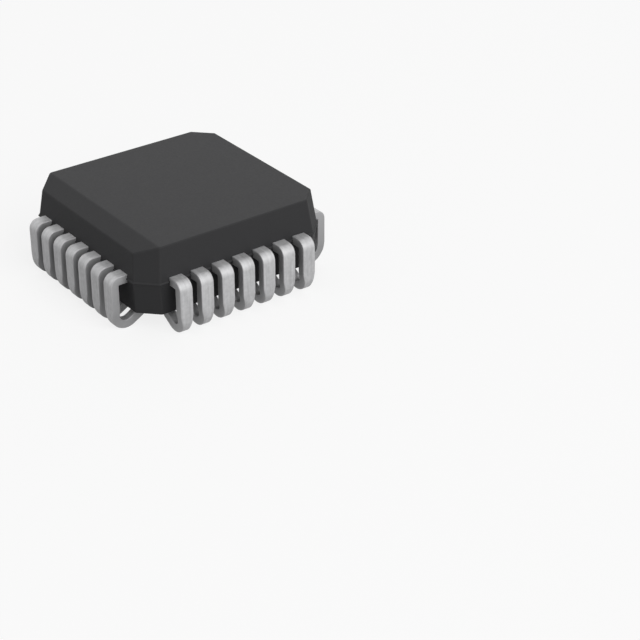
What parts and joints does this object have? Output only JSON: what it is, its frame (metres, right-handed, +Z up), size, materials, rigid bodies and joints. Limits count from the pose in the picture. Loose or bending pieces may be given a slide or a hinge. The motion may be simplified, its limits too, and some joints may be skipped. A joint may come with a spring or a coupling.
{
  "type": "plastic leaded chip carrier",
  "caption": "Square dark moulded chip package that stands on rows of tin-plated J-shaped leads along all four sides, with cut corners and one bevelled top edge.",
  "frame": {"origin": "centre of the seating plane, on which the bends of the leads rest", "axes": "+Z up through the top face, -X towards the bevelled side that holds lead 1, +Y to the left seen from that side"},
  "size_m": [0.0134, 0.0134, 0.0048],
  "materials": {
    "moulding_compound": "dark grey, fine matt",
    "tin_plate": "satin tin plate on copper",
    "copper_strip": "bare copper alloy strip",
    "silver_epoxy": "silver-filled epoxy",
    "silicon": "polished, sawn edges",
    "gold_wire": "drawn gold"
  },
  "bodies": {
    "root": {"body": "moulding_compound", "die_pad": "copper_strip", "die_attach": "silver_epoxy", "die": "silicon", "lead_01": "tin_plate", "lead_02": "tin_plate", "lead_03": "tin_plate", "lead_04": "tin_plate", "lead_05": "tin_plate", "lead_06": "tin_plate", "lead_07": "tin_plate", "lead_08": "tin_plate", "lead_09": "tin_plate", "lead_10": "tin_plate", "lead_11": "tin_plate", "lead_12": "tin_plate", "lead_13": "tin_plate", "lead_14": "tin_plate", "lead_15": "tin_plate", "lead_16": "tin_plate", "lead_17": "tin_plate", "lead_18": "tin_plate", "lead_19": "tin_plate", "lead_20": "tin_plate", "lead_21": "tin_plate", "lead_22": "tin_plate", "lead_23": "tin_plate", "lead_24": "tin_plate", "lead_25": "tin_plate", "lead_26": "tin_plate", "lead_27": "tin_plate", "lead_28": "tin_plate", "wire_01": "gold_wire", "wire_02": "gold_wire", "wire_03": "gold_wire", "wire_04": "gold_wire", "wire_05": "gold_wire", "wire_06": "gold_wire", "wire_07": "gold_wire", "wire_08": "gold_wire", "wire_09": "gold_wire", "wire_10": "gold_wire", "wire_11": "gold_wire", "wire_12": "gold_wire", "wire_13": "gold_wire", "wire_14": "gold_wire", "wire_15": "gold_wire", "wire_16": "gold_wire", "wire_17": "gold_wire", "wire_18": "gold_wire", "wire_19": "gold_wire", "wire_20": "gold_wire", "wire_21": "gold_wire", "wire_22": "gold_wire", "wire_23": "gold_wire", "wire_24": "gold_wire", "wire_25": "gold_wire", "wire_26": "gold_wire", "wire_27": "gold_wire", "wire_28": "gold_wire"}
  },
  "joints": []
}
